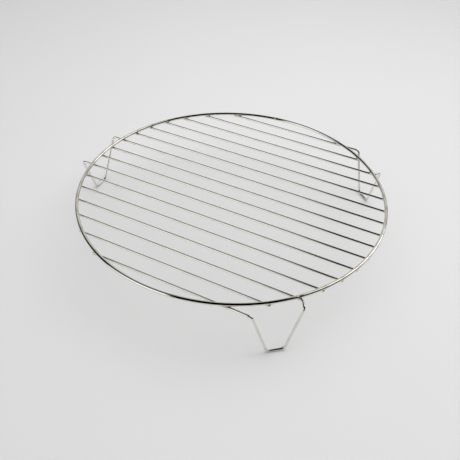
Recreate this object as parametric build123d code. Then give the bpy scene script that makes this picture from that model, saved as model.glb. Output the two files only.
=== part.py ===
from build123d import *
import math
import os

# A round cooling rack made of bright wire.  One heavier wire is butt-welded into a flat ring.
# Sixteen lighter bars lie side by side under the ring and are welded to its underside.  Ten of
# them are plain cut lengths.  The other six are the two long arms of three hairpin-shaped leg
# wires, whose middle part is bent down outside the ring into a narrow foot.
#
# Frame: millimetres, +Z up.  The origin is on the ring's axis, in the plane the feet stand on.
# +X runs along the bars, away from the single leg at their end.  The rack is its own mirror
# image about the plane Y = 0.

# ---- driving dimensions ----------------------------------------------------------------------
ring_outside = 320.0        # across the outside of the ring
ring_wire = 3.5             # ring wire diameter
bar_wire = 2.5              # diameter of the bars and the legs
weld_setdown = 0.3          # how far each bar is pressed into the ring by its weld
bar_count = 16
edge_gap = 14.65            # outermost bar to the ring, between wire centres
bar_setback = 0.5           # bar ends stop this far short of the outside of the ring
leg_height = 48.8           # foot wire up to the bars, between wire centres
foot_width = 16.6           # across the two corners of a foot
bend_radius = 4.4           # centreline radius of every bend

side_leg_angle = 49.3       # the two side legs face this many degrees either side of +X
side_leg_reach = 8.5        # outside of the ring to the middle of a side leg's wire
side_leg_splay = 0.5        # its foot stands this much further out than its shoulders
inner_bend_gap = 1.0        # outside of the ring to the sideways bend of the inner arm
inner_shoulder = 22.2       # middle of a side leg to its inner arm's shoulder
end_leg_reach = 10.5        # the same reach, for the leg at the end of the bars
end_leg_splay = 3.5         # the same splay, for the leg at the end of the bars

# Bars are numbered from the +Y edge.  Each leg wire takes two of them as its arms.
left_leg_bars = (1, 3)      # outer arm, inner arm
right_leg_bars = (16, 14)
end_leg_bars = (7, 10)

# ---- sizes that follow from them -------------------------------------------------------------
ring_radius = (ring_outside - ring_wire) / 2
bar_pitch = 2 * (ring_radius - edge_gap) / (bar_count - 1)
foot_level = bar_wire / 2
bar_level = foot_level + leg_height
ring_level = bar_level + (ring_wire + bar_wire) / 2 - weld_setdown


def bar_offset(number):
    """Y of a bar's centreline, counted from the +Y edge."""
    return (ring_radius - edge_gap) - (number - 1) * bar_pitch


def ring_edge(y):
    """X where the outside of the ring crosses the line at this Y."""
    return math.sqrt((ring_outside / 2) ** 2 - y ** 2)


def bar_end(y):
    """X of a plain bar end at this Y, just inside the outside of the ring."""
    return ring_edge(y) - bar_setback


def wire_along(corners):
    """A round wire that runs straight between the corners and is bent at each one between."""
    route = FilletPolyline(*corners, radius=bend_radius)
    section = Plane(origin=route @ 0, z_dir=route % 0) * Circle(bar_wire / 2)
    return sweep(section, path=route)


def make_ring():
    """The closed rim ring."""
    return Pos(0, 0, ring_level) * Torus(ring_radius, ring_wire / 2)


def make_plain_bar(number):
    """A straight bar, cut square just inside the ring's outer edge at both ends."""
    y = bar_offset(number)
    length = 2 * bar_end(y)
    return Pos(0, y, bar_level) * Rot(0, 90, 0) * Cylinder(bar_wire / 2, length)


def side_leg_point(out, along, z):
    """A point of the right-hand leg: distance out from the axis, and along the leg's plane."""
    turn = math.radians(-side_leg_angle)
    x = out * math.cos(turn) - along * math.sin(turn)
    y = out * math.sin(turn) + along * math.cos(turn)
    return (x, y, z)


def make_right_leg():
    """The hairpin on the -Y side: its outer arm runs straight into the leg's shoulder, and its
    inner arm is bent sideways just outside the ring to reach the other shoulder."""
    outer_y = bar_offset(right_leg_bars[0])
    inner_y = bar_offset(right_leg_bars[1])
    turn = math.radians(side_leg_angle)
    shoulder_out = ring_outside / 2 + side_leg_reach
    foot_out = shoulder_out + side_leg_splay

    outer_shoulder_x = (shoulder_out + outer_y * math.sin(turn)) / math.cos(turn)
    inner_bend_x = ring_edge(inner_y) + inner_bend_gap

    return wire_along([
        (-bar_end(outer_y), outer_y, bar_level),
        (outer_shoulder_x, outer_y, bar_level),
        side_leg_point(foot_out, -foot_width / 2, foot_level),
        side_leg_point(foot_out, foot_width / 2, foot_level),
        side_leg_point(shoulder_out, inner_shoulder, bar_level),
        (inner_bend_x, inner_y, bar_level),
        (-bar_end(inner_y), inner_y, bar_level),
    ])


def make_left_leg():
    """The mirror image of the right-hand leg, on the +Y side."""
    return mirror(make_right_leg(), about=Plane.XZ)


def make_end_leg():
    """The hairpin at the -X end, whose arms run straight out to its shoulders."""
    arm_y = bar_offset(end_leg_bars[0])
    shoulder_x = -(ring_outside / 2 + end_leg_reach)
    foot_x = shoulder_x - end_leg_splay

    return wire_along([
        (bar_end(arm_y), arm_y, bar_level),
        (shoulder_x, arm_y, bar_level),
        (foot_x, foot_width / 2, foot_level),
        (foot_x, -foot_width / 2, foot_level),
        (shoulder_x, -arm_y, bar_level),
        (bar_end(arm_y), -arm_y, bar_level),
    ])


def welded_under(wire, ring):
    """The wire with the shallow saddles that the ring is pressed into."""
    return wire - ring


def main():
    os.makedirs("parts", exist_ok=True)
    ring = make_ring()
    pieces = {
        "rim_ring": ring,
        "left_leg_wire": welded_under(make_left_leg(), ring),
        "right_leg_wire": welded_under(make_right_leg(), ring),
        "end_leg_wire": welded_under(make_end_leg(), ring),
    }
    leg_bars = left_leg_bars + right_leg_bars + end_leg_bars
    for number in range(1, bar_count + 1):
        if number not in leg_bars:
            pieces[f"plain_bar_{number:02d}"] = welded_under(make_plain_bar(number), ring)

    for name, piece in pieces.items():
        export_step(piece, f"parts/{name}.step")


main()
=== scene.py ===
"""A round cooling rack of welded, bright-plated wire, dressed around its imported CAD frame."""

import logging
import math
import random
from dataclasses import dataclass, field
from enum import Enum
from typing import ClassVar

import bmesh
import bpy
from mathutils import Matrix, Vector


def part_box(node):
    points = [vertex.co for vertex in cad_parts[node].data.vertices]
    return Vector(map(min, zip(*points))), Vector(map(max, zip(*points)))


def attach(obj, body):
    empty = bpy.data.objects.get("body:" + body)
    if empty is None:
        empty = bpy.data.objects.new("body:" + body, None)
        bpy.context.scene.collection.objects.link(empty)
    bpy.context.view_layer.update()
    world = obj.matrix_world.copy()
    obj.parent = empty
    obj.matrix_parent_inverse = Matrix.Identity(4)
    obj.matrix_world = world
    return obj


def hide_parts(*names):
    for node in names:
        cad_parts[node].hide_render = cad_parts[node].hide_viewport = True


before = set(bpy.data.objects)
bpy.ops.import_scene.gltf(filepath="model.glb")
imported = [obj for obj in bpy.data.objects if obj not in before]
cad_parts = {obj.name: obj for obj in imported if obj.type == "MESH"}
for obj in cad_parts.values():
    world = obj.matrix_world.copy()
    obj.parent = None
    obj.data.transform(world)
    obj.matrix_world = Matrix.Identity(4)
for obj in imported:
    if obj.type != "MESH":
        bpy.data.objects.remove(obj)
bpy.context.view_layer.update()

LOG = logging.getLogger("cooling_rack")

MM = 0.001
BODY = "root"

RIM_NODE = "rim_ring"
LEFT_LEG_NODE = "left_leg_wire"
RIGHT_LEG_NODE = "right_leg_wire"
END_LEG_NODE = "end_leg_wire"
PLAIN_BAR_NUMBERS = (2, 4, 5, 6, 8, 9, 11, 12, 13, 15)

# Names of the values that each wire mesh carries from point to point.
UNROLLED = "unrolled_wire"      # distance along the wire, and the place round its section
WELD_HEAT = "weld_heat"         # 1 at a weld, 0 away from it
BEND_MARK = "bend_mark"         # 1 in a bend, 0 on a straight run
CUT_END = "cut_end"             # 1 on a sheared end


class Side(Enum):
    """The side of the rack that a side leg stands on."""

    LEFT = 1
    RIGHT = -1


# ---- finishes --------------------------------------------------------------------------------


@dataclass(frozen=True)
class PlatedWireFinish:
    """Bright nickel-chrome plate over drawn steel wire."""

    name: str = "bright_plated_wire"
    plate: tuple = (0.797, 0.79, 0.737, 1.0)
    shade: tuple = (0.727, 0.715, 0.657, 1.0)
    straw: tuple = (0.50, 0.40, 0.27, 1.0)
    smooth: float = 0.04
    hazy: float = 0.09
    scorched: float = 0.34
    sheared: float = 0.42
    line_pitch: float = 0.12 * MM
    line_length: float = 9.0 * MM
    line_depth: float = 0.0020 * MM
    ripple_size: float = 2.2 * MM
    ripple_depth: float = 0.004 * MM
    haze_length: float = 14.0 * MM
    haze_width: float = 5.5556 * MM
    haze_range: tuple = (0.45, 0.75)
    stain_size: float = 1.1111 * MM
    stain_range: tuple = (0.30, 0.62)

    def material(self) -> bpy.types.Material:
        """Builds the finish's material.

        Returns:
            A node material whose patterns follow each wire along its length.
        """
        material = bpy.data.materials.new(self.name)
        material.use_nodes = True
        graph = NodeGraph(material.node_tree)
        shader = graph.tree.nodes["Principled BSDF"]
        shader.inputs["Metallic"].default_value = 1.0

        unrolled = graph.attribute(UNROLLED, "Vector")
        heat = graph.attribute(WELD_HEAT, "Fac")
        bend = graph.attribute(BEND_MARK, "Fac")
        cut = graph.attribute(CUT_END, "Fac")

        lines = graph.streaks(unrolled, self.line_length, self.line_pitch, detail=2.0)
        ripple = graph.streaks(unrolled, self.ripple_size, self.ripple_size, detail=1.0)
        haze = graph.streaks(unrolled, self.haze_length, self.haze_width, detail=3.0)
        mottle = graph.streaks(unrolled, self.stain_size, self.stain_size, detail=2.0)

        blotch = graph.ranged(haze, *self.haze_range)
        stain = graph.math("MULTIPLY", heat, graph.ranged(mottle, *self.stain_range))
        plate = graph.mixed(blotch, self.plate, self.shade)
        graph.link(graph.mixed(stain, plate, self.straw), shader.inputs["Base Color"])

        rough = graph.between(blotch, self.smooth, self.hazy)
        rough = graph.toward(rough, graph.math("MULTIPLY", bend, lines), self.hazy)
        rough = graph.toward(rough, stain, self.scorched)
        rough = graph.toward(rough, cut, self.sheared)
        graph.link(rough, shader.inputs["Roughness"])

        relief = graph.bump(lines, self.line_depth)
        relief = graph.bump(ripple, self.ripple_depth, relief)
        graph.link(relief, shader.inputs["Normal"])
        return material


@dataclass(frozen=True)
class FloorFinish:
    """A plain pale studio floor."""

    name: str = "pale_studio_floor"
    colour: tuple = (0.60, 0.60, 0.60, 1.0)
    roughness: float = 0.55
    shine: float = 0.25
    mottle_scale: float = 6.0
    mottle_shade: float = 0.985

    def material(self) -> bpy.types.Material:
        """Builds the floor's material.

        Returns:
            A matt material with a very faint mottle.
        """
        material = bpy.data.materials.new(self.name)
        material.use_nodes = True
        graph = NodeGraph(material.node_tree)
        shader = graph.tree.nodes["Principled BSDF"]
        shader.inputs["Specular IOR Level"].default_value = self.shine
        shader.inputs["Roughness"].default_value = self.roughness
        place = graph.tree.nodes.new("ShaderNodeTexCoord").outputs["Object"]
        mottle = graph.noise(graph.scaled(place, (self.mottle_scale,) * 3), detail=3.0)
        darker = tuple(self.mottle_shade * part for part in self.colour[:3]) + (1.0,)
        graph.link(graph.mixed(mottle, self.colour, darker), shader.inputs["Base Color"])
        return material


class NodeGraph:
    """Short ways to add and join the nodes of one material."""

    def __init__(self, tree: bpy.types.NodeTree) -> None:
        """Keeps the node tree that is added to."""
        self.tree = tree

    def link(self, output: bpy.types.NodeSocket, target: bpy.types.NodeSocket) -> None:
        """Joins an output to an input."""
        self.tree.links.new(output, target)

    def attribute(self, name: str, output: str) -> bpy.types.NodeSocket:
        """Reads a value that the mesh carries.

        Args:
            name: the mesh attribute's name.
            output: the socket to read, Vector or Fac.

        Returns:
            The attribute's output socket.
        """
        node = self.tree.nodes.new("ShaderNodeAttribute")
        node.attribute_name = name
        return node.outputs[output]

    def scaled(self, vector: bpy.types.NodeSocket, scale: tuple) -> bpy.types.NodeSocket:
        """A coordinate multiplied by a scale for each axis.

        Args:
            vector: the coordinate.
            scale: the three factors.

        Returns:
            The scaled coordinate.
        """
        node = self.tree.nodes.new("ShaderNodeMapping")
        node.vector_type = "POINT"
        node.inputs["Scale"].default_value = scale
        self.link(vector, node.inputs["Vector"])
        return node.outputs["Vector"]

    def noise(self, vector: bpy.types.NodeSocket, detail: float) -> bpy.types.NodeSocket:
        """Smooth random values between about 0.3 and 0.7.

        Args:
            vector: the coordinate, where 1 is one feature.
            detail: how many finer layers are added.

        Returns:
            The noise value.
        """
        node = self.tree.nodes.new("ShaderNodeTexNoise")
        node.inputs["Scale"].default_value = 1.0
        node.inputs["Detail"].default_value = detail
        self.link(vector, node.inputs["Vector"])
        return node.outputs["Fac"]

    def streaks(self, vector: bpy.types.NodeSocket, length: float, width: float,
                detail: float) -> bpy.types.NodeSocket:
        """Random values drawn out along the first axis of a coordinate.

        Args:
            vector: the coordinate, in metres.
            length: the size of one feature along the first axis.
            width: its size along the other two.
            detail: how many finer layers are added.

        Returns:
            The random value.
        """
        return self.noise(self.scaled(vector, (1 / length, 1 / width, 1 / width)), detail)

    def ranged(self, value: bpy.types.NodeSocket, low: float, high: float) -> bpy.types.NodeSocket:
        """A value stretched so that low becomes 0 and high becomes 1, and kept inside.

        Args:
            value: the value.
            low: what becomes 0.
            high: what becomes 1.

        Returns:
            The stretched value.
        """
        node = self.tree.nodes.new("ShaderNodeMapRange")
        node.inputs["From Min"].default_value = low
        node.inputs["From Max"].default_value = high
        self.link(value, node.inputs["Value"])
        return node.outputs["Result"]

    def between(self, factor: bpy.types.NodeSocket, low: float, high: float) -> bpy.types.NodeSocket:
        """A value that runs from low to high as the factor runs from 0 to 1.

        Args:
            factor: the factor.
            low: the value at 0.
            high: the value at 1.

        Returns:
            The value.
        """
        node = self.tree.nodes.new("ShaderNodeMapRange")
        node.inputs["To Min"].default_value = low
        node.inputs["To Max"].default_value = high
        self.link(factor, node.inputs["Value"])
        return node.outputs["Result"]

    def math(self, operation: str, first: bpy.types.NodeSocket,
             second: bpy.types.NodeSocket) -> bpy.types.NodeSocket:
        """One arithmetic step on two values.

        Args:
            operation: the math node's operation.
            first: the first value.
            second: the second value.

        Returns:
            The result.
        """
        node = self.tree.nodes.new("ShaderNodeMath")
        node.operation = operation
        self.link(first, node.inputs[0])
        self.link(second, node.inputs[1])
        return node.outputs["Value"]

    def toward(self, value: bpy.types.NodeSocket, factor: bpy.types.NodeSocket,
               goal: float) -> bpy.types.NodeSocket:
        """A value drawn towards a fixed goal by a factor from 0 to 1.

        Args:
            value: the value.
            factor: how far to draw it.
            goal: the value it is drawn to.

        Returns:
            The result.
        """
        node = self.tree.nodes.new("ShaderNodeMix")
        node.data_type = "FLOAT"
        self.link(factor, node.inputs[0])
        self.link(value, node.inputs[2])
        node.inputs[3].default_value = goal
        return node.outputs[0]

    def mixed(self, factor: bpy.types.NodeSocket, first: object, second: object) -> bpy.types.NodeSocket:
        """A colour between two, each given as a colour or as a socket.

        Args:
            factor: 0 gives the first colour and 1 the second.
            first: the first colour.
            second: the second colour.

        Returns:
            The mixed colour.
        """
        node = self.tree.nodes.new("ShaderNodeMix")
        node.data_type = "RGBA"
        self.link(factor, node.inputs[0])
        for socket, colour in ((node.inputs[6], first), (node.inputs[7], second)):
            if isinstance(colour, bpy.types.NodeSocket):
                self.link(colour, socket)
            else:
                socket.default_value = colour
        return node.outputs[2]

    def bump(self, height: bpy.types.NodeSocket, depth: float,
             under: bpy.types.NodeSocket = None) -> bpy.types.NodeSocket:
        """Fine relief.

        Args:
            height: the relief's pattern.
            depth: its full depth, in metres.
            under: a normal that the relief is laid over.

        Returns:
            The normal.
        """
        node = self.tree.nodes.new("ShaderNodeBump")
        node.inputs["Distance"].default_value = depth
        self.link(height, node.inputs["Height"])
        if under is not None:
            self.link(under, node.inputs["Normal"])
        return node.outputs["Normal"]


# ---- welds -----------------------------------------------------------------------------------


@dataclass(frozen=True)
class Weld:
    """One resistance weld, where a bar crosses under the ring.

    Attributes:
        centre: the point where the two wires touch.
        bar_direction: the direction of the bar there.
        rim_direction: the direction of the ring there.
        fillet: how far from the other wire the melted metal reaches.
        rise: how far the melted metal stands out where the wires meet.
        dent: how deep the electrode pressed the far side of each wire.
    """

    centre: Vector
    bar_direction: Vector
    rim_direction: Vector
    fillet: float
    rise: float
    dent: float

    MIN_SLANT: ClassVar[float] = 0.25

    def spread(self) -> float:
        """How much longer a slanting crossing is than a square one."""
        return 1.0 / max(self.bar_direction.cross(self.rim_direction).length, self.MIN_SLANT)


@dataclass
class WeldShop:
    """Makes the welds, each a little different from the next, and shapes the wires round them."""

    rim: "RimRing"
    fillet: float = 1.25 * MM
    rise: float = 0.36 * MM
    dent: float = 0.10 * MM
    dent_length: float = 1.7 * MM
    heat_length: float = 4.2 * MM
    reach: float = 9.0 * MM
    hidden_depth: float = 0.35 * MM
    scatter: float = 0.22
    chance: random.Random = field(default_factory=lambda: random.Random(14))

    def at(self, y: float, side: int) -> Weld:
        """The weld where the bar at this Y crosses under one half of the ring.

        Args:
            y: the bar's place across the rack.
            side: 1 for the +X half of the ring, -1 for the -X half.

        Returns:
            The weld.
        """
        x = side * math.sqrt(self.rim.radius ** 2 - y ** 2)
        rim_direction = Vector((-y, x, 0.0)).normalized()
        varied = [1.0 + self.scatter * (2.0 * self.chance.random() - 1.0) for _ in range(3)]
        return Weld(
            centre=Vector((x, y, self.rim.level - self.rim.wire_radius)),
            bar_direction=Vector((1.0, 0.0, 0.0)),
            rim_direction=rim_direction,
            fillet=self.fillet * varied[0],
            rise=self.rise * varied[1],
            dent=self.dent * varied[2],
        )

    def shape_bar(self, wire: "WireMesher", welds: list, bar_y: float) -> None:
        """Raises the melted metal on a bar, and presses the electrode's flat into its underside.

        Args:
            wire: the bar's mesh.
            welds: the bar's welds.
            bar_y: the bar's place across the rack.
        """
        for weld in welds:
            for vert in wire.near(weld.centre, self.reach * weld.spread()):
                if abs(vert.co.y - bar_y) > 2.0 * wire.radius:
                    continue
                gap = self.rim.gap_to(vert.co)
                self._move(wire, vert, weld, gap, weld.bar_direction, -1.0)

    def shape_rim(self, wire: "WireMesher", welds: list, bar_radius: float) -> None:
        """Raises the melted metal on the ring, and presses the electrode's flat into its top.

        Args:
            wire: the ring's mesh.
            welds: the ring's welds.
            bar_radius: the radius of the bars.
        """
        bar_level = self.rim.level - self.rim.wire_radius - bar_radius + self.rim.setdown
        for weld in welds:
            for vert in wire.near(weld.centre, self.reach * weld.spread()):
                offset = math.hypot(vert.co.y - weld.centre.y, vert.co.z - bar_level)
                self._move(wire, vert, weld, offset - bar_radius, weld.rim_direction, 1.0)

    def _move(self, wire: "WireMesher", vert: bmesh.types.BMVert, weld: Weld, gap: float,
              direction: Vector, pressed: float) -> None:
        """Moves one point of a wire for one weld, and warms it.

        Args:
            wire: the wire's mesh.
            vert: the point.
            weld: the weld.
            gap: the point's distance from the other wire, below 0 inside it.
            direction: the wire's direction at the weld.
            pressed: 1 if the electrode presses the wire's top, -1 if its underside.
        """
        away = vert.co - weld.centre
        along = away.dot(direction)
        closeness = min(max(1.0 - gap / weld.fillet, 0.0), 1.0)
        outward = weld.rise * closeness ** 2 if gap > -self.hidden_depth else 0.0
        facing = max(vert.normal.z * pressed, 0.0)
        flat = weld.dent * facing ** 2 * math.exp(-(along / self.dent_length) ** 2)
        vert.co += vert.normal * (outward - flat)
        heat = math.exp(-((away.length / self.heat_length) ** 2))
        vert[wire.heat] = max(vert[wire.heat], heat)


# ---- drawing a wire --------------------------------------------------------------------------


class WireMesher:
    """Draws one round wire as a mesh: a section is pushed along runs and spun round bends."""

    SIDES = 28
    BEND_STEP = math.radians(5.0)
    FINE_STEP = 0.38 * MM
    FINE_REACH = 3.4 * MM
    WARM_STEP = 1.8 * MM
    WARM_REACH = 12.0 * MM
    START_GAP = 0.10 * MM
    LEAST_STEP = 0.12 * MM
    CLOSE_DISTANCE = 0.01 * MM
    ROUNDING_SEGMENTS = 3
    CROWN_INSET = 0.32
    CROWN_STEPS = (0.03 * MM, 0.02 * MM)

    def __init__(self, radius: float) -> None:
        """Starts an empty mesh for a wire of this radius."""
        self.radius = radius
        self.mesh = bmesh.new()
        layers = self.mesh.verts.layers
        self.unrolled = layers.float_vector.new(UNROLLED)
        self.heat = layers.float.new(WELD_HEAT)
        self.bent = layers.float.new(BEND_MARK)
        self.cut = layers.float.new(CUT_END)
        self.front = []
        self.point = Vector()
        self.travelled = 0.0

    def start(self, point: Vector, direction: Vector) -> None:
        """Sets the first section.

        Args:
            point: where the wire starts.
            direction: the way it goes.
        """
        turn = direction.to_track_quat("Z", "Y").to_matrix().to_4x4()
        made = bmesh.ops.create_circle(
            self.mesh, cap_ends=False, segments=self.SIDES, radius=self.radius,
            matrix=Matrix.Translation(point) @ turn,
        )
        inverse = turn.inverted()
        for vert in made["verts"]:
            place = inverse @ (vert.co - point)
            vert[self.unrolled] = Vector((0.0, place.x, place.y))
        self.front = list(dict.fromkeys(edge for vert in made["verts"] for edge in vert.link_edges))
        self.point = point.copy()

    def run(self, end: Vector, welds: list) -> None:
        """Pushes the section along a straight run.

        Args:
            end: where the run ends.
            welds: the welds on the whole wire; those on this run get finer steps.
        """
        begin = self.point.copy()
        direction = (end - begin).normalized()
        length = (end - begin).length
        for station in self._stations(begin, direction, length, welds):
            grown = bmesh.ops.extrude_edge_only(self.mesh, edges=self.front)["geom"]
            verts = [item for item in grown if isinstance(item, bmesh.types.BMVert)]
            goal = begin + direction * station
            bmesh.ops.translate(self.mesh, verts=verts, vec=goal - self.point)
            self._advance(verts, (goal - self.point).length, goal, 0.0)

    def bend(self, centre: Vector, axis: Vector, angle: float) -> None:
        """Spins the section round a bend.

        Args:
            centre: the middle of the bend.
            axis: the line that it turns about.
            angle: how far it turns.
        """
        steps = max(2, math.ceil(angle / self.BEND_STEP))
        arm = (self.point - centre).length
        turn = Matrix.Rotation(angle / steps, 3, axis)
        for count in range(steps):
            spun = bmesh.ops.spin(
                self.mesh, geom=self.front, cent=centre, axis=axis, angle=angle / steps,
                steps=1, use_merge=False, use_duplicate=False,
            )["geom_last"]
            verts = [item for item in spun if isinstance(item, bmesh.types.BMVert)]
            goal = centre + turn @ (self.point - centre)
            mark = math.sin(math.pi * (count + 1) / steps)
            self._advance(verts, arm * angle / steps, goal, mark)

    def sweep(self, centre: Vector, axis: Vector, angle: float, steps: int) -> None:
        """Spins the section round a part of a ring, in one stroke.

        Args:
            centre: the middle of the ring.
            axis: the ring's axis.
            angle: how far it turns.
            steps: how many sections it gets.
        """
        spun = bmesh.ops.spin(
            self.mesh, geom=self.front, cent=centre, axis=axis, angle=angle, steps=steps,
            use_merge=False, use_duplicate=False,
        )["geom_last"]
        verts = [item for item in spun if isinstance(item, bmesh.types.BMVert)]
        goal = centre + Matrix.Rotation(angle, 3, axis) @ (self.point - centre)
        self._advance(verts, (self.point - centre).length * angle, goal, 0.0)

    def _advance(self, verts: list, distance: float, goal: Vector, mark: float) -> None:
        """Takes newly made points as the front section.

        Args:
            verts: the new points.
            distance: how far the wire went.
            goal: the section's new middle.
            mark: how strongly the section is marked by a bend.
        """
        self.travelled += distance
        for vert in verts:
            place = vert[self.unrolled]
            vert[self.unrolled] = Vector((self.travelled, place.y, place.z))
            vert[self.bent] = mark
        chosen = set(verts)
        edges = dict.fromkeys(edge for vert in verts for edge in vert.link_edges)
        self.front = [edge for edge in edges if all(vert in chosen for vert in edge.verts)]
        self.point = goal.copy()

    def _stations(self, begin: Vector, direction: Vector, length: float, welds: list) -> list:
        """Distances along a run where sections go: close together at welds, far apart elsewhere.

        Args:
            begin: where the run starts.
            direction: the way it goes.
            length: how long it is.
            welds: the welds to look for.

        Returns:
            The distances, from the first after the start to the run's end.
        """
        places = {length}
        for weld in welds:
            middle = (weld.centre - begin).dot(direction)
            off_line = ((weld.centre - begin) - direction * middle).length
            if off_line > 3.0 * self.radius:
                continue
            fine = self.FINE_REACH * weld.spread()
            steps = math.ceil(fine / self.FINE_STEP)
            places.update(middle + fine * count / steps for count in range(-steps, steps + 1))
            steps = math.ceil((self.WARM_REACH - self.FINE_REACH) / self.WARM_STEP)
            for side in (-1, 1):
                places.update(middle + side * (fine + self.WARM_STEP * count)
                              for count in range(1, steps + 1))
        kept = [place for place in sorted(places) if self.START_GAP < place <= length]
        spaced = []
        for place in kept:
            if not spaced or place - spaced[-1] > self.LEAST_STEP:
                spaced.append(place)
        spaced[-1] = length
        return spaced

    def near(self, centre: Vector, reach: float) -> list:
        """The points of the wire within a distance of a point."""
        return [vert for vert in self.mesh.verts if (vert.co - centre).length < reach]

    def close_ring(self) -> None:
        """Joins the last section of a ring to its first."""
        bmesh.ops.remove_doubles(self.mesh, verts=self.mesh.verts, dist=self.CLOSE_DISTANCE)
        bmesh.ops.recalc_face_normals(self.mesh, faces=self.mesh.faces)
        self.mesh.normal_update()

    def close_ends(self, burr: float) -> None:
        """Fills both sheared ends, rounds their rims and leaves a shallow crown on each.

        Args:
            burr: how far the rounding reaches in from the rim.
        """
        open_edges = [edge for edge in self.mesh.edges if edge.is_boundary]
        caps = bmesh.ops.holes_fill(self.mesh, edges=open_edges, sides=self.SIDES)["faces"]
        bmesh.ops.recalc_face_normals(self.mesh, faces=self.mesh.faces)
        rims = list(dict.fromkeys(edge for cap in caps for edge in cap.edges))
        bmesh.ops.bevel(
            self.mesh, geom=rims, offset=burr, offset_type="OFFSET",
            segments=self.ROUNDING_SEGMENTS, profile=0.5, affect="EDGES", material=-1,
            clamp_overlap=True,
        )
        caps = [face for face in self.mesh.faces if len(face.verts) == self.SIDES]
        for depth in self.CROWN_STEPS:
            bmesh.ops.inset_region(
                self.mesh, faces=caps, thickness=self.CROWN_INSET * self.radius, depth=depth,
            )
        for vert in {vert for cap in caps for face in self._ring_of(cap) for vert in face.verts}:
            vert[self.cut] = 1.0
        self.mesh.normal_update()

    @staticmethod
    def _ring_of(cap: bmesh.types.BMFace) -> list:
        """A cap with the faces that touch its rim."""
        return [cap] + [face for edge in cap.edges for face in edge.link_faces]

    def finish(self, name: str) -> bpy.types.Object:
        """Turns the mesh into an object of the scene.

        Args:
            name: the object's name.

        Returns:
            The object, with smooth faces.
        """
        for face in self.mesh.faces:
            face.smooth = True
        data = bpy.data.meshes.new(name)
        self.mesh.to_mesh(data)
        self.mesh.free()
        piece = bpy.data.objects.new(name, data)
        bpy.context.scene.collection.objects.link(piece)
        return piece


@dataclass
class BentRoute:
    """A wire's centreline: straight runs between corners, with a round bend at each corner."""

    corners: list
    bend_radius: float

    def draw(self, wire: WireMesher, welds: list) -> None:
        """Draws the route with a wire.

        Args:
            wire: the mesh to draw in.
            welds: the welds on the wire.
        """
        first = (self.corners[1] - self.corners[0]).normalized()
        wire.start(self.corners[0], first)
        for before, corner, after in zip(self.corners, self.corners[1:], self.corners[2:]):
            incoming = (corner - before).normalized()
            outgoing = (after - corner).normalized()
            turn = incoming.angle(outgoing)
            tangent = self.bend_radius * math.tan(turn / 2.0)
            entry = corner - incoming * tangent
            axis = incoming.cross(outgoing).normalized()
            wire.run(entry, welds)
            wire.bend(entry + axis.cross(incoming) * self.bend_radius, axis, turn)
        wire.run(self.corners[-1], welds)


# ---- the rack's own pieces -------------------------------------------------------------------


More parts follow.
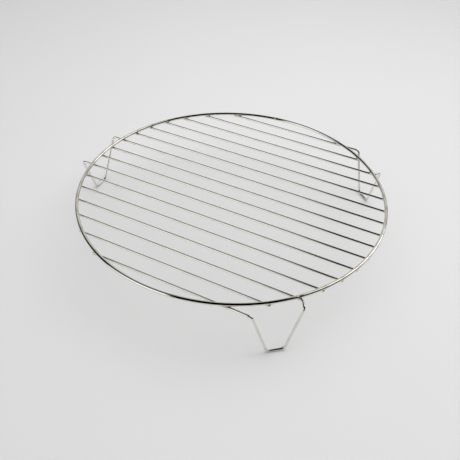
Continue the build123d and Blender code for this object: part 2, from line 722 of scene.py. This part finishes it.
@dataclass
class RimRing:
    """The heavier wire, bent into a circle and butt-welded shut."""

    setdown: float = 0.3 * MM
    seam_angle: float = math.radians(97.0)
    seam_rise: float = 0.16 * MM
    seam_length: float = 1.1 * MM
    seam_heat_length: float = 3.0 * MM
    seam_zone: float = 2.6 * MM
    weld_zone: float = 2.9 * MM
    fine_step: float = 0.437 * MM
    coarse_step: float = math.radians(1.6)
    radius: float = field(init=False)
    wire_radius: float = field(init=False)
    level: float = field(init=False)

    def __post_init__(self) -> None:
        """Takes the ring's size and place from its CAD node."""
        low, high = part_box(RIM_NODE)
        self.wire_radius = (high.z - low.z) / 2.0
        self.level = (high.z + low.z) / 2.0
        self.radius = max(high.x, high.y) - self.wire_radius

    def edge(self, y: float) -> float:
        """X where the outside of the ring crosses the line at this Y."""
        return math.sqrt((self.radius + self.wire_radius) ** 2 - y ** 2)

    def gap_to(self, point: Vector) -> float:
        """Distance from a point to the ring's surface, below 0 inside it."""
        return math.hypot(math.hypot(point.x, point.y) - self.radius,
                          point.z - self.level) - self.wire_radius

    def build(self, welds: list, shop: WeldShop, bar_radius: float) -> bpy.types.Object:
        """Builds the ring.

        Args:
            welds: all the rack's welds.
            shop: what shapes the metal round each weld.
            bar_radius: the radius of the bars.

        Returns:
            The ring's object.
        """
        wire = WireMesher(self.wire_radius)
        spoke = Vector((math.cos(self.seam_angle), math.sin(self.seam_angle), 0.0))
        centre = Vector((0.0, 0.0, self.level))
        along = Vector((-spoke.y, spoke.x, 0.0))
        wire.start(centre + spoke * self.radius, along)
        reached = 0.0
        for turn, step in self._zones(welds):
            steps = math.ceil((turn - reached) / step)
            wire.sweep(centre, Vector((0.0, 0.0, 1.0)), turn - reached, steps)
            reached = turn
        wire.close_ring()
        self._unroll(wire)
        shop.shape_rim(wire, welds, bar_radius)
        self._raise_seam(wire, centre + spoke * self.radius, along)
        return wire.finish("rim_ring_wire")

    def _zones(self, welds: list) -> list:
        """Splits the ring into zones, with short steps at the welds and the seam.

        Args:
            welds: all the rack's welds.

        Returns:
            For each zone, the angle from the seam where it ends, and its longest step.
        """
        fine = self.fine_step / self.radius
        seam_reach = self.seam_zone / self.radius
        zones = [(0.0, seam_reach), (math.tau - seam_reach, math.tau)]
        for weld in welds:
            middle = (math.atan2(weld.centre.y, weld.centre.x) - self.seam_angle) % math.tau
            reach = self.weld_zone * weld.spread() / self.radius
            zones.append((middle - reach, middle + reach))
        turns = []
        reached = 0.0
        for begin, end in sorted(zones):
            if begin > reached:
                turns.append((begin, self.coarse_step))
            turns.append((end, fine))
            reached = end
        return turns

    def _unroll(self, wire: WireMesher) -> None:
        """Gives each point its distance along the ring from the seam."""
        seam_margin = 1e-6
        for vert in wire.mesh.verts:
            turn = (math.atan2(vert.co.y, vert.co.x) - self.seam_angle + seam_margin) % math.tau
            place = vert[wire.unrolled]
            vert[wire.unrolled] = Vector((turn * self.radius, place.y, place.z))

    def _raise_seam(self, wire: WireMesher, seam: Vector, direction: Vector) -> None:
        """Leaves the low collar of the ground-down butt weld.

        Args:
            wire: the ring's mesh.
            seam: the wire's middle at the seam.
            direction: the wire's direction there.
        """
        for vert in wire.near(seam, 2.0 * self.seam_heat_length):
            along = (vert.co - seam).dot(direction)
            vert.co += vert.normal * self.seam_rise * math.exp(-(along / self.seam_length) ** 2)
            heat = math.exp(-(along / self.seam_heat_length) ** 2)
            vert[wire.heat] = max(vert[wire.heat], heat)


@dataclass
class Grid:
    """How the bars lie under the ring."""

    rim: RimRing
    count: int = 16
    bar_radius: float = field(init=False)
    level: float = field(init=False)
    pitch: float = field(init=False)
    overhang: float = field(init=False)

    def __post_init__(self) -> None:
        """Takes the bars' size and places from their CAD nodes."""
        low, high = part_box("plain_bar_02")
        last_low, last_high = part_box("plain_bar_15")
        self.bar_radius = (high.y - low.y) / 2.0
        self.level = low.z + self.bar_radius
        first_y = (low.y + high.y) / 2.0
        last_y = (last_low.y + last_high.y) / 2.0
        self.pitch = (first_y - last_y) / (PLAIN_BAR_NUMBERS[-1] - PLAIN_BAR_NUMBERS[0])
        self.overhang = high.x - self.rim.edge(first_y)

    def offset(self, number: int) -> float:
        """Y of a bar, numbered from the +Y edge."""
        return ((self.count + 1) / 2.0 - number) * self.pitch

    def end(self, y: float) -> float:
        """X of a plain bar end at this Y."""
        return self.rim.edge(y) + self.overhang


@dataclass
class PlainBar:
    """One straight cut bar, welded under the ring at both ends."""

    number: int
    grid: Grid
    burr: float = 0.22 * MM

    def build(self, shop: WeldShop, welds: list) -> bpy.types.Object:
        """Builds the bar.

        Args:
            shop: what makes and shapes the welds.
            welds: the rack's list of welds, which the bar's own are added to.

        Returns:
            The bar's object.
        """
        y = self.grid.offset(self.number)
        own = [shop.at(y, side) for side in (-1, 1)]
        welds.extend(own)
        wire = WireMesher(self.grid.bar_radius)
        start = Vector((-self.grid.end(y), y, self.grid.level))
        wire.start(start, Vector((1.0, 0.0, 0.0)))
        wire.run(Vector((self.grid.end(y), y, self.grid.level)), own)
        wire.close_ends(self.burr)
        shop.shape_bar(wire, own, y)
        return wire.finish(f"bar_{self.number:02d}_wire")


@dataclass
class LegWire:
    """A hairpin: two long bars joined by a middle that is bent down into a leg."""

    grid: Grid
    foot_width: float = 16.6 * MM
    bend_radius: float = 4.4 * MM
    burr: float = 0.22 * MM

    def foot_level(self) -> float:
        """Z of the foot's centreline."""
        return self.grid.bar_radius

    def _draw(self, name: str, corners: list, bars: tuple, shop: WeldShop,
              welds: list) -> bpy.types.Object:
        """Draws the hairpin.

        Args:
            name: the piece's name.
            corners: the corners of its centreline.
            bars: Y of its two bars, each with the halves of the ring that it is welded to.
            shop: what makes and shapes the welds.
            welds: the rack's list of welds, which the piece's own are added to.

        Returns:
            The piece's object.
        """
        groups = [(y, [shop.at(y, side) for side in (-1, 1)]) for y in bars]
        own = [weld for _, group in groups for weld in group]
        welds.extend(own)
        wire = WireMesher(self.grid.bar_radius)
        BentRoute(corners, self.bend_radius).draw(wire, own)
        wire.close_ends(self.burr)
        for y, group in groups:
            shop.shape_bar(wire, group, y)
        return wire.finish(name)


@dataclass
class SideLegWire(LegWire):
    """The hairpin whose leg stands at one side of the rack's +X half."""

    side: Side = Side.RIGHT
    angle: float = math.radians(49.3)
    reach: float = 8.5 * MM
    splay: float = 0.5 * MM
    inner_bend_gap: float = 1.0 * MM
    inner_shoulder: float = 22.2 * MM
    outer_bar: int = 1
    inner_bar: int = 3

    def point(self, out: float, along: float, z: float) -> Vector:
        """A point of the leg, by its distance out and its place along the leg's plane.

        Args:
            out: distance from the ring's axis.
            along: place along the leg, towards the inner bar.
            z: height.

        Returns:
            The point.
        """
        x = out * math.cos(self.angle) + along * math.sin(self.angle)
        y = out * math.sin(self.angle) - along * math.cos(self.angle)
        return Vector((x, self.side.value * y, z))

    def build(self, shop: WeldShop, welds: list) -> bpy.types.Object:
        """Builds the side leg's wire.

        Args:
            shop: what makes and shapes the welds.
            welds: the rack's list of welds, which the piece's own are added to.

        Returns:
            The piece's object.
        """
        grid = self.grid
        outer = grid.offset(self.outer_bar)
        inner = grid.offset(self.inner_bar)
        shoulder_out = grid.rim.radius + grid.rim.wire_radius + self.reach
        foot_out = shoulder_out + self.splay
        outer_x = (shoulder_out - outer * math.sin(self.angle)) / math.cos(self.angle)
        inner_x = grid.rim.edge(inner) + self.inner_bend_gap
        outer_y = self.side.value * outer
        inner_y = self.side.value * inner
        corners = [
            Vector((-grid.end(outer), outer_y, grid.level)),
            Vector((outer_x, outer_y, grid.level)),
            self.point(foot_out, -self.foot_width / 2.0, self.foot_level()),
            self.point(foot_out, self.foot_width / 2.0, self.foot_level()),
            self.point(shoulder_out, self.inner_shoulder, grid.level),
            Vector((inner_x, inner_y, grid.level)),
            Vector((-grid.end(inner), inner_y, grid.level)),
        ]
        name = f"{self.side.name.lower()}_leg_hairpin"
        return self._draw(name, corners, (outer_y, inner_y), shop, welds)


@dataclass
class EndLegWire(LegWire):
    """The hairpin whose leg stands at the -X end of its bars."""

    reach: float = 10.5 * MM
    splay: float = 3.5 * MM
    bar: int = 7

    def build(self, shop: WeldShop, welds: list) -> bpy.types.Object:
        """Builds the end leg's wire.

        Args:
            shop: what makes and shapes the welds.
            welds: the rack's list of welds, which the piece's own are added to.

        Returns:
            The piece's object.
        """
        grid = self.grid
        arm = grid.offset(self.bar)
        shoulder_x = -(grid.rim.radius + grid.rim.wire_radius + self.reach)
        foot_x = shoulder_x - self.splay
        half = self.foot_width / 2.0
        corners = [
            Vector((grid.end(arm), arm, grid.level)),
            Vector((shoulder_x, arm, grid.level)),
            Vector((foot_x, half, self.foot_level())),
            Vector((foot_x, -half, self.foot_level())),
            Vector((shoulder_x, -arm, grid.level)),
            Vector((grid.end(arm), -arm, grid.level)),
        ]
        return self._draw("end_leg_hairpin", corners, (arm, -arm), shop, welds)


# ---- studio ----------------------------------------------------------------------------------


@dataclass(frozen=True)
class GlowPanel:
    """A large soft panel far from the rack, which the plated wire mirrors.

    Attributes:
        azimuth: direction of its middle, from +X towards +Y.
        elevation: height of its middle above the floor, as an angle.
        half_width: half of its width, as an angle.
        half_height: half of its height, as an angle.
        brightness: how bright it is at its middle.
        softness: the share of its half-size over which its edge fades.
    """

    # Keeps the panel's light in its own half of the room.
    FRONT_MARGIN: ClassVar[float] = 0.02

    azimuth: float
    elevation: float
    half_width: float
    half_height: float
    brightness: float
    softness: float

    def add(self, graph: NodeGraph, direction: bpy.types.NodeSocket,
            light: bpy.types.NodeSocket) -> bpy.types.NodeSocket:
        """Adds the panel's light to the room's.

        Args:
            graph: the room's nodes.
            direction: the direction looked in.
            light: the light so far.

        Returns:
            The light with the panel's added.
        """
        turned = graph.tree.nodes.new("ShaderNodeMapping")
        turned.vector_type = "TEXTURE"
        turned.inputs["Rotation"].default_value = (0.0, -math.radians(self.elevation),
                                                   math.radians(self.azimuth))
        turned.inputs["Scale"].default_value = (1.0, math.sin(math.radians(self.half_width)),
                                                math.sin(math.radians(self.half_height)))
        graph.link(direction, turned.inputs["Vector"])
        split = graph.tree.nodes.new("ShaderNodeSeparateXYZ")
        graph.link(turned.outputs["Vector"], split.inputs[0])
        across = graph.math("MULTIPLY", split.outputs["Y"], split.outputs["Y"])
        upright = graph.math("MULTIPLY", split.outputs["Z"], split.outputs["Z"])
        off_centre = graph.math("ADD", across, upright)
        glow = graph.tree.nodes.new("ShaderNodeMapRange")
        glow.interpolation_type = "SMOOTHSTEP"
        glow.inputs["From Min"].default_value = (1.0 + self.softness) ** 2
        glow.inputs["From Max"].default_value = (1.0 - self.softness) ** 2
        glow.inputs["To Max"].default_value = self.brightness
        graph.link(off_centre, glow.inputs["Value"])
        ahead = graph.ranged(split.outputs["X"], 0.0, self.FRONT_MARGIN)
        return graph.math("ADD", light, graph.math("MULTIPLY", glow.outputs["Result"], ahead))


@dataclass(frozen=True)
class Softbox:
    """A soft overhead light that lights the floor and isn't mirrored in the wire."""

    name: str
    place: tuple
    size: float
    watts: float

    def build(self) -> bpy.types.Object:
        """Adds the light, facing straight down.

        Returns:
            The light's object.
        """
        data = bpy.data.lights.new(self.name, "AREA")
        data.shape = "DISK"
        data.size = self.size
        data.energy = self.watts
        light = bpy.data.objects.new(self.name, data)
        light.location = self.place
        light.visible_glossy = False
        light.visible_camera = False
        bpy.context.scene.collection.objects.link(light)
        return light


@dataclass
class Studio:
    """The pale floor, the soft lights and the camera."""

    azimuth: float = math.radians(25.74)
    elevation: float = math.radians(40.84)
    roll: float = math.radians(2.11)
    lens_place: tuple = (0.21478, -0.44709, 0.42758)
    focal_length: float = 46.62
    sensor_width: float = 36.0
    near_limit: float = 0.01
    floor_size: float = 14.0
    ambient: float = 0.0
    backdrop: float = 0.50

    def build(self) -> None:
        """Builds the whole studio."""
        self._floor()
        self._camera()
        self._room()
        Softbox("overhead_softbox", place=(0.10, 0.26, 0.75), size=1.3, watts=5.0).build()
        Softbox("wide_fill", place=(0.0, 0.0, 8.0), size=40.0, watts=2400.0).build()

    def _panels(self) -> list:
        """The panels round the rack: behind it to the right, behind it to the left, and left."""
        return [
            GlowPanel(azimuth=51.0, elevation=42.0, half_width=17.5, half_height=28.0,
                      brightness=1.80, softness=0.10),
            GlowPanel(azimuth=112.0, elevation=22.0, half_width=35.0, half_height=26.0,
                      brightness=0.66, softness=0.60),
            GlowPanel(azimuth=236.5, elevation=-6.0, half_width=23.0, half_height=57.0,
                      brightness=1.36, softness=0.10),
        ]

    def _floor(self) -> None:
        """Lays the floor at the height of the feet."""
        mesh = bmesh.new()
        bmesh.ops.create_grid(mesh, x_segments=1, y_segments=1, size=self.floor_size / 2.0)
        data = bpy.data.meshes.new("studio_floor")
        mesh.to_mesh(data)
        mesh.free()
        floor = bpy.data.objects.new("studio_floor", data)
        bpy.context.scene.collection.objects.link(floor)
        data.materials.append(FloorFinish().material())

    def _camera(self) -> None:
        """Sets the camera at the viewing angle."""
        data = bpy.data.cameras.new("camera")
        data.lens = self.focal_length
        data.sensor_width = self.sensor_width
        data.clip_start = self.near_limit
        camera = bpy.data.objects.new("camera", data)
        turn = (
            Matrix.Rotation(self.azimuth, 4, "Z")
            @ Matrix.Rotation(math.pi / 2.0 - self.elevation, 4, "X")
            @ Matrix.Rotation(self.roll, 4, "Z")
        )
        camera.matrix_world = Matrix.Translation(self.lens_place) @ turn
        bpy.context.scene.collection.objects.link(camera)
        bpy.context.scene.camera = camera

    def _room(self) -> None:
        """Makes the dim room with its bright panels, and a plain pale backdrop beyond the floor."""
        world = bpy.data.worlds.new("studio_room")
        bpy.context.scene.world = world
        world.use_nodes = True
        graph = NodeGraph(world.node_tree)
        nodes = graph.tree.nodes
        direction = nodes.new("ShaderNodeTexCoord").outputs["Generated"]
        dim = nodes.new("ShaderNodeValue").outputs[0]
        dim.default_value = self.ambient
        light = dim
        for panel in self._panels():
            light = panel.add(graph, direction, light)
        seen = nodes.new("ShaderNodeLightPath").outputs["Is Camera Ray"]
        graph.link(graph.toward(light, seen, self.backdrop), nodes["Background"].inputs["Strength"])
        nodes["Background"].inputs["Color"].default_value = (1.0, 1.0, 1.0, 1.0)


# ---- assembly --------------------------------------------------------------------------------


class CoolingRack:
    """The whole rack, built piece by piece and hung on the CAD frame."""

    def __init__(self) -> None:
        """Reads the frame's sizes and makes the finish."""
        self.rim = RimRing()
        self.grid = Grid(self.rim)
        self.shop = WeldShop(self.rim)
        self.welds = []
        self.plate = PlatedWireFinish().material()

    def build(self) -> None:
        """Builds, dresses and reports every piece."""
        for number in PLAIN_BAR_NUMBERS:
            bar = PlainBar(number, self.grid).build(self.shop, self.welds)
            self._hang(bar, f"plain_bar_{number:02d}")
        for side, node in ((Side.LEFT, LEFT_LEG_NODE), (Side.RIGHT, RIGHT_LEG_NODE)):
            leg = SideLegWire(self.grid, side=side).build(self.shop, self.welds)
            self._hang(leg, node)
        self._hang(EndLegWire(self.grid).build(self.shop, self.welds), END_LEG_NODE)
        ring = self.rim.build(self.welds, self.shop, self.grid.bar_radius)
        self._hang(ring, RIM_NODE)

    def _hang(self, piece: bpy.types.Object, node: str) -> None:
        """Gives a piece its finish, and puts it in the place of its CAD node.

        Args:
            piece: the piece.
            node: the CAD node that it stands for.
        """
        piece.data.materials.append(self.plate)
        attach(piece, BODY)
        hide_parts(node)
        LOG.info("%s stands for %s: %d faces", piece.name, node, len(piece.data.polygons))


def main() -> None:
    """Builds the studio and the rack."""
    logging.basicConfig(level=logging.INFO, format="%(message)s")
    Studio().build()
    CoolingRack().build()
    bpy.context.scene.view_settings.view_transform = "Standard"


if __name__ == "__main__":
    main()
